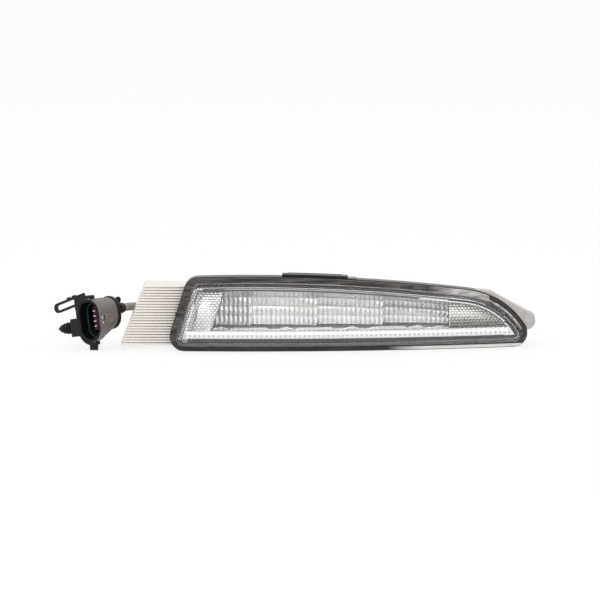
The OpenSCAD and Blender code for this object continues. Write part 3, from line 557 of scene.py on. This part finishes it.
def thin_wall(piece, thickness, material):
    """Gives a sheet its thickness, away from the side that is seen, and makes it part of the reflector."""
    wall = piece.modifiers.new("wall", "SOLIDIFY")
    wall.thickness = thickness * MM
    wall.offset = -1
    piece.data.materials.append(material)
    piece.data.set_sharp_from_angle(angle=math.radians(35))
    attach(piece, "root")
    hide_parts("reflector")


def front_sheet(inset, depth, cuts):
    """A sheet inside the outline, cut by planes and bowed. Each plane is (x, z, lean in degrees): 0 keeps what is
    to its right, 180 what is to its left, 90 what is below it and -90 what is above it."""
    bm = bmesh.new()
    bmesh.ops.contextual_create(bm, geom=loop(bm, inset, depth))
    for x, z, lean in cuts:
        turn = math.radians(lean)
        bmesh.ops.bisect_plane(
            bm, geom=bm.verts[:] + bm.edges[:] + bm.faces[:], plane_co=(x * MM, 0, z * MM),
            plane_no=(math.cos(turn), 0, -math.sin(turn)), clear_inner=True,
        )
    cross_cut(bm, 2)
    bowed(bm)
    turn_faces(bm, 1, -1)
    return bm


bright = mirror_skin("vacuum_laid_aluminium", (3.16, 1.7), 0.05, "#e6e3de")

# The bowls, a quarter round each from the shelf up. u runs along a cell and up is the height in it, both from
# 0 to 1; across and along are 0 in the grooves between the pillows and 1 on their crowns.
columns = FLUTES * FLUTE_STEPS + 1
bm = bmesh.new()
bmesh.ops.create_grid(bm, x_segments=CELLS * columns - 1, y_segments=ROWS * ROW_STEPS, size=0.5)
hollow_shade = bm.verts.layers.float.new("hollow_shade")
for v in bm.verts:
    i, step = divmod(round((v.co.x + 0.5) * (CELLS * columns - 1)), columns)
    u, turn = step / (columns - 1), math.radians(90 * (v.co.y + 0.5))
    up = math.sin(turn)
    across = abs(math.sin(math.pi * FLUTES * (u - FLUTE_SWAY * math.sin(math.pi * (ROWS * up % 1)))))
    along = abs(math.sin(math.pi * ROWS * up))
    relief = FLUTE_H * across + ROW_H * along
    fine = abs(math.sin(math.pi * FINE * up))
    # How much painted shade lies here: most in the hollows between the pillows, where the skin reflects itself.
    v[hollow_shade] = max((0.2 + 0.8 * u**2) * (1 - across) ** 2.1, 0.6 * (1 - along) ** 6, 0.4 * (1 - u) * (1 - fine) ** 4)
    x = FIRST_X + i * CELL_W + u * (CELL_W - 0.04)
    deep = BOWL_R - BOWL_CLOSE * u**3 - relief
    tall = ceiling(x) - BOWL_Z - relief
    v.co = Vector((x, cell_axis(i) + deep * math.cos(turn), BOWL_Z + tall * up)) * MM
bmesh.ops.bisect_plane(
    bm, geom=bm.verts[:] + bm.edges[:] + bm.faces[:], plane_co=(end_x(0, REFLECTOR_IN) * MM, 0, 0),
    plane_no=(1, 0, -LEAN), clear_inner=True,
)
bmesh.ops.recalc_face_normals(bm, faces=bm.faces)
turn_faces(bm, 1, -1)
for face in bm.faces:
    face.smooth = True
# The same skin on the bowls, with painted shade in the hollows between the pillows, where it reflects itself.
bowl_skin = mirror_skin("bowl_aluminium", (3.16, 1.7), 0.0, "#ffffff", metallic=0.72)
tree = bowl_skin.node_tree
depth = add(tree, "Attribute", attribute_name="hollow_shade")
shade = add(tree, "Mix", {0: depth.outputs["Fac"], 6: linear("#ffffff"), 7: linear("#85817d")}, data_type="RGBA")
tree.links.new(shade.outputs[2], tree.nodes["Principled BSDF"].inputs["Base Color"])
thin_wall(put("reflector_bowls", bm), WALL_T, bowl_skin)

# The shelf under the bowls, with a window cut for each LED.
bm = bmesh.new()
bmesh.ops.create_grid(bm, x_segments=CELLS * 8, y_segments=1, size=0.5)
for v in bm.verts:
    x = FIRST_X + 3 + (v.co.x + 0.5) * (CELLS * CELL_W - 3)
    i = min(int((x - FIRST_X) / CELL_W), CELLS - 1)
    y = cell_axis(i) + BOWL_R if v.co.y > 0 else FRONT_Y + swept(x) + BORDER_D + SHEET_GAP
    v.co = Vector((x, y, BOWL_Z)) * MM
for i in range(CELLS):
    led = Vector((FIRST_X + (i + LED_SHARE) * CELL_W, cell_axis(i), 0))
    half = LED_W / 2 + 0.5
    for side, away in (((-half, 0), (1, 0)), ((half, 0), (1, 0)), ((0, -half), (0, 1)), ((0, half), (0, 1))):
        near = [f for f in bm.faces if abs(f.calc_center_median().x / MM - led.x) < CUT_REACH]
        geom = list(dict.fromkeys(g for f in near for g in (*f.verts, *f.edges))) + near
        bmesh.ops.bisect_plane(
            bm, geom=geom, dist=1e-7, plane_co=((led.x + side[0]) * MM, (led.y + side[1]) * MM, 0), plane_no=(*away, 0)
        )
    window = [
        f for f in bm.faces
        if abs(f.calc_center_median().x / MM - led.x) < half and abs(f.calc_center_median().y / MM - led.y) < half
    ]
    bmesh.ops.delete(bm, geom=window, context="FACES")
bmesh.ops.recalc_face_normals(bm, faces=bm.faces)
turn_faces(bm, 2, 1)
thin_wall(put("reflector_shelf", bm), WALL_T, bright)

# The skirt, the end panels and the strip carry a fine relief of pillows, 1.7 to 3.6 mm wide, about as the
# photograph shows them; the nose panel's skin is greyer than the rest.
SHEET_IN, PANEL_FOOT = TRIM_IN + 0.2, BOWL_Z - 1.4
skirt = front_sheet(SHEET_IN, BORDER_D, [(0, BOWL_Z, 90)])
thin_wall(
    put("reflector_skirt", skirt), WALL_T,
    mirror_skin("skirt_aluminium", (3.2, 3.6), 0.25, "#7b7773", corners=True),
)
nose = front_sheet(SHEET_IN, NOSE_D, [(FIRST_X + CELLS * CELL_W, 0, 0), (0, PANEL_FOOT, -90)])
thin_wall(
    put("reflector_nose", nose), WALL_T,
    mirror_skin("nose_aluminium", (2.2, 2.0), 0.22, "#a5a19d", ("#eceae7", "#f5f3f0"), (0.1, 0.2)),
)
end = front_sheet(SHEET_IN, PANEL_D, [(end_x(0, PANEL_EDGE), 0, 180 + END_LEAN), (0, PANEL_FOOT, -90)])
thin_wall(put("reflector_end", end), WALL_T, mirror_skin("end_aluminium", (2.8, 1.7), 0.3, "#a39e98"))
strip = front_sheet(STRIP_IN, BORDER_D + SHEET_GAP, [(end_x(0, STRIP_EDGE), 0, 180 + END_LEAN)])
thin_wall(
    put("reflector_edge", strip), 0.8,
    mirror_skin("edge_aluminium", (1.9, 1.8), 0.5, "#2b2930", ("#d6d5dc", "#f0eff4")),
)

# The thin border. Its upper part is black as far as the nose, taken to be left without the aluminium skin.
BLACK_TO_X, BLACK_FROM_Z = 62, 30
trim_out = TRIM_IN + 0.7
bm = lofted(
    [(TRIM_IN, BORDER_D), (trim_out, BORDER_D + 0.05), (trim_out, BORDER_D + 2), (TRIM_IN, BORDER_D + 1.95)]
)
cross_cut(bm)
border = put("reflector_border", bowed(bm), bright)
border.data.materials.append(black_abs)
for face in border.data.polygons:
    if face.center.x < BLACK_TO_X * MM and face.center.z > BLACK_FROM_Z * MM:
        face.material_index = 1
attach(border, "root")
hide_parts("reflector")

# The dark slot between the end panel and the first bowl, drawn as a black wall across it: painted shade.
bm = bmesh.new()
bmesh.ops.create_grid(bm, x_segments=1, y_segments=1, size=0.5)
for v in bm.verts:
    z = PANEL_FOOT if v.co.x < 0 else ceiling(end_x(40, PANEL_EDGE)) + 0.2
    x = end_x(z, PANEL_EDGE)
    v.co = Vector((x, FRONT_Y + swept(x) + (PANEL_D if v.co.y < 0 else LED_D), z)) * MM
slot = put("reflector_slot_shade", bm, black_abs)
wall = slot.modifiers.new("wall", "SOLIDIFY")
wall.thickness = 0.9 * MM
wall.offset = 0
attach(slot, "root")
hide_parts("reflector")


# LED board and its LEDs. An aluminium board under the reflector's shelf, with a white solder mask that
# throws stray light forward, and one yellow-topped LED package soldered under each bowl.

# White solder mask: an even, slightly glossy coat.
repaint(["led_board"], moulded("white_solder_mask", ("#eeeeea", "#f4f4f0"), 0.35, 0.6, 0.01))
# Phosphor in clear silicone: pale yellow and soft.
repaint(
    ["led_1", "led_2", "led_3", "led_4"], moulded("yellow_phosphor_silicone", ("#ead98c", "#f3e6a0"), 0.4, 0.3, 0.01)
)


# Heat spreader and its screws. An angle bent from aluminium sheet carries the board's heat to the finned
# profile; three zinc-plated steel screws press the board on it.


def metal(name, shades, metallic, roughness, stretch, line, height):
    """Makes a metal with fine lines: stretch scales the pattern along X, Y and Z; line and height are the
    lines' width and relief in mm."""
    made = bpy.data.materials.new(name)
    made.use_nodes = True
    tree = made.node_tree
    skin = tree.nodes["Principled BSDF"]
    place = add(tree, "TexCoord").outputs["Object"]
    drawn = add(tree, "Mapping", {"Vector": place, "Scale": stretch})
    lines = add(tree, "TexNoise", {"Vector": drawn.outputs[0], "Scale": 1 / (line * MM), "Detail": 3.0})
    shade = add(tree, "Mix", {0: lines.outputs[0], 6: linear(shades[0]), 7: linear(shades[1])}, data_type="RGBA")
    tree.links.new(shade.outputs[2], skin.inputs["Base Color"])
    gloss = add(tree, "MapRange", {"Value": lines.outputs[0], 3: roughness - 0.08, 4: roughness + 0.08})
    tree.links.new(gloss.outputs[0], skin.inputs["Roughness"])
    raised = add(tree, "Bump", {"Strength": 0.25, "Distance": height * MM, "Height": lines.outputs[0]})
    tree.links.new(raised.outputs[0], skin.inputs["Normal"])
    skin.inputs["Metallic"].default_value = metallic
    return made


# Rolled sheet: dull, with the mill's fine lines along it.
sheet_aluminium = metal("rolled_aluminium_sheet", ("#b3b5b8", "#c3c5c8"), 1.0, 0.35, (0.05, 1, 1), 0.3, 0.01)
# Bright zinc on steel: bluish grey with a small spangle.
zinc_steel = metal("zinc_plated_steel", ("#8f9297", "#a7aaae"), 1.0, 0.3, (1, 1, 1), 0.6, 0.02)
repaint(["heat_spreader"], sheet_aluminium)
repaint(["board_screws"], zinc_steel)


# Heat sink. A length of extruded aluminium profile, a leaning base with level fins, sawn to length. Two
# screws hold it to the tub's end wall over a rubber gasket.

# Extruded aluminium, left as it came from the die and only washed: pale and bright, with lines along the
# fins. Metallic is 0.6 to keep it bright.
fin_aluminium = metal("extruded_aluminium", ("#ddd7d1", "#e9e3dd"), 0.6, 0.3, (1, 0.06, 1), 0.5, 0.01)
profile = softened("heat_sink", 0.06, fin_aluminium)
# The skin stands 0.16 mm proud of the CAD solid, for looks alone: that narrows the dark gaps between the fins.
fuller = profile.modifiers.new("fuller", "DISPLACE")
fuller.strength = 0.16 * MM
fuller.mid_level = 0
# EPDM rubber: matt black with a fine bloom.
black_rubber = moulded("black_epdm_rubber", ("#100e0e", "#191716"), 0.75, 0.25, 0.05)
repaint(["sink_gasket"], black_rubber)
repaint(["sink_screws"], zinc_steel)


# Retaining clip. A black-coated spring clip snapped over the tub's top wall, taken to hold the lamp in the
# bumper. The tongue at its right end is bare metal.

# Black nylon, a coat here and moulded in the pieces below: near black, less glossy than the ABS.
black_nylon = moulded("black_nylon_moulded", ("#100d0c", "#1b1716"), 0.34, 0.3, 0.03, level=0.25)
softened("retaining_clip", 0.25, black_nylon)
TONGUE_X = 13.2
clip = bpy.data.objects["retaining_clip_skin"]
clip.data.materials.append(zinc_steel)
for face in clip.data.polygons:
    if face.center.x > TONGUE_X * MM:
        face.material_index = 1


# Side bracket. A corner moulding of natural nylon round the nose, with the mounting ear and its hole. It
# lies round the outside of the tub's rim; its fixing there can't be seen.

# Natural nylon, unpigmented: pale grey and a little waxy.
pale_nylon = moulded("natural_nylon_moulded", ("#9d9a98", "#b3b0ae"), 0.35, 0.4, 0.03)
softened("side_bracket", 0.4, pale_nylon)
# Two low round pads on the ear's front: a guess at the small rounded forms that the photograph shows there.
EAR_X, EAR_Z, EAR_D = 133.2, 17.4, 5.85
EAR_FRONT = FRONT_Y + swept(EAR_X) + EAR_D
bm = bmesh.new()
for x, z, radius, high in ((EAR_X + 1.6, EAR_Z + 1.7, 3.4, 0.9), (EAR_X + 2.2, EAR_Z - 2.6, 2.6, 0.5)):
    lies = Matrix.Translation(Vector((x, EAR_FRONT, z)) * MM) @ Matrix.Rotation(math.pi / 2, 4, "X")
    bmesh.ops.create_cone(
        bm, cap_ends=True, segments=32, radius1=radius * MM, radius2=(radius - 0.25) * MM, depth=2 * high * MM,
        matrix=lies,
    )
pads = put("ear_pads", bm, pale_nylon)
pads.data.set_sharp_from_angle(angle=math.radians(40))
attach(pads, "root")


# Driver. A green board in the tub's rear room with the coil, the driver chip and two capacitor cans, fed
# by two wires from the grommet.

# Green solder mask over glass epoxy: an even, half-glossy coat.
repaint(["driver_board"], moulded("green_solder_mask", ("#235839", "#2f6b45"), 0.35, 0.5, 0.01))
# Ferrite and the chip's epoxy: matt charcoal with a very fine grain.
repaint(["driver_coil", "driver_chip"], moulded("pressed_ferrite", ("#1c1b1b", "#262525"), 0.55, 0.2, 0.02))
# Aluminium cans in a thin clear sleeve.
repaint(["driver_capacitor"], metal("drawn_aluminium_can", ("#a9abae", "#babcbf"), 1.0, 0.3, (1, 1, 0.1), 0.4, 0.01))
# PVC insulation: smooth and red.
repaint(["inner_wires"], moulded("red_pvc_insulation", ("#8e1713", "#a3201a"), 0.45, 0.3, 0.01))


# Rear cover, its seal and screws, and the vent cap. The cover closes the rear room over a rubber seal
# with four screws; the cap's stem is pushed into the vent hole beside it.

softened("rear_cover", 0.5, black_abs)
repaint(["cover_seal"], black_rubber)
repaint(["cover_screws"], zinc_steel)
softened("vent_cap", 0.4, black_nylon)


# Grommet and lead collar. The rubber grommet is moulded round the lead and snapped into the tub's rear
# wall; the collar with its tie eye guides the lead into the connector's cap.

softened("cable_grommet", 0.5, black_rubber)
softened("lead_collar", 0.3, black_nylon)


# Connector. A sealed four-way plug: a grey shell, dark inside with painted shade, a purple carrier with four
# tinned pins, a ring seal of silicone, and a black cap clipped on its back.

# Glass-filled PBT: mid grey with the fibres' faint mottle.
grey_pbt = moulded("grey_glass_filled_pbt", ("#5d5956", "#6f6a67"), 0.45, 0.5, 0.05, 5)
# The socket's inside, painted near black as shade, and the black lip: nearly matt.
socket_shade_and_lip = moulded("socket_painted_shade_and_black_lip", ("#040606", "#0a0f0f"), 0.4, 0.3, 0.02, level=0.2)
softened("connector_shell", 0.4, grey_pbt)
shell = bpy.data.objects["connector_shell_skin"]
shell.data.materials.append(socket_shade_and_lip)
# In the shell's own frame, where its axis is Y, the faces painted with shade are those that look in to the axis,
# and the black ones of the lip look forward.
SHELL_AT, SHELL_TURN, SHELL_TILT = (-160.54, -16.66, 20.09), -38, -9
into_shell = (
    Matrix.Translation(Vector(SHELL_AT) * MM) @ Matrix.Rotation(math.radians(SHELL_TURN), 4, "Z")
    @ Matrix.Rotation(math.radians(SHELL_TILT), 4, "Y")
).inverted()
for face in shell.data.polygons:
    place, facing = into_shell @ face.center, into_shell.to_3x3() @ face.normal
    looks_in = facing.x * place.x + facing.z * place.z < -0.2 * math.hypot(place.x, place.z)
    if looks_in or facing.y < -0.3:
        face.material_index = 1

# Coloured PBT: purple, with a soft sheen.
purple_pbt = moulded("purple_pbt_moulded", ("#4d1743", "#64205a"), 0.42, 0.3, 0.03)
softened("terminal_carrier", 0.2, purple_pbt)
# Reflow-tinned brass: bright and warm white.
tinned_brass = metal("tinned_brass", ("#cfc2c6", "#dfd6d8"), 1.0, 0.25, (1, 1, 1), 0.4, 0.01)
softened("terminal_pins", 0.12, tinned_brass)
# Silicone rubber: deep teal and half glossy.
teal_silicone = moulded("teal_silicone_rubber", ("#061716", "#0b2524"), 0.45, 0.3, 0.02)
softened("connector_seal", 0.4, teal_silicone)
softened("connector_cap", 0.5, black_nylon)

# Two dots that stand proud on the connector's shell, flattened along the way that its side faces; their pale
# colour is a painted highlight.
DOTS, DOT_R, DOT_FACING = ((-151.65, -19.91, 22.74), (-150.72, -19.57, 19.38)), 0.6, (0.778, -0.608, 0.156)
bm = bmesh.new()
flat = Vector(DOT_FACING).to_track_quat("Z", "Y").to_matrix().to_4x4()
for dot in DOTS:
    bmesh.ops.create_uvsphere(
        bm, u_segments=16, v_segments=8, radius=DOT_R * MM,
        matrix=Matrix.Translation(Vector(dot) * MM) @ flat @ Matrix.Diagonal((1, 1, 0.4, 1)),
    )
for face in bm.faces:
    face.smooth = True
dots = put("shell_gauge_dots", bm, moulded("dot_painted_highlight", ("#c9c6c4", "#dcdad8"), 0.45, 0.3, 0.02))
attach(dots, "root")


# Bracket and fir-tree clip. A bracket of black nylon sits round the connector's shell, with a foot and a
# slotted strap; the barbed clip on its arm is pushed into a hole of the car's body and holds the plug there.

softened("clip_bracket", 0.3, black_nylon)
softened("fir_tree_clip", 0.2, black_nylon)


# The lead's lay. It leaves the grommet level, sinks to the surface and lies there in one loose bend behind
# the lamp; the connector and all that is clipped to it hang on its far end.

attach(lead, "root")
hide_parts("lead")
